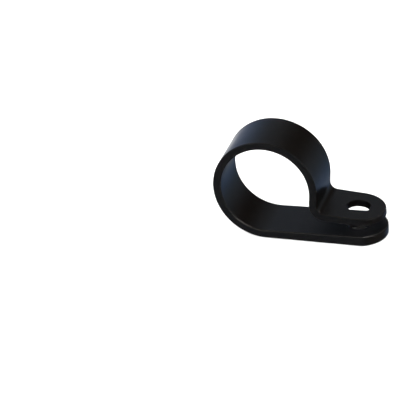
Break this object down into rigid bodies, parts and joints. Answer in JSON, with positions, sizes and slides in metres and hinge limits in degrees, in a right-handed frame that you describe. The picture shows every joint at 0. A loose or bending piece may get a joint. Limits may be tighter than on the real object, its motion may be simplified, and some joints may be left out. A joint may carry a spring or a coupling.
{
  "type": "p clip",
  "caption": "Black moulded nylon cable clamp: a round loop for the cable, with a flat base and a sprung tab that share one fixing hole.",
  "frame": {"origin": "centre of the fixing hole on the base's underside, where the clip lies on its panel", "axes": "+Z away from the panel, along the fixing hole; +Y along the bore that the cable runs through; +X from the loop towards the tips of the base and the tab"},
  "size_m": [0.0358, 0.0116, 0.0224],
  "materials": {
    "nylon": "black, semi-gloss as moulded"
  },
  "bodies": {
    "root": {"p_clip": "nylon"}
  },
  "joints": []
}
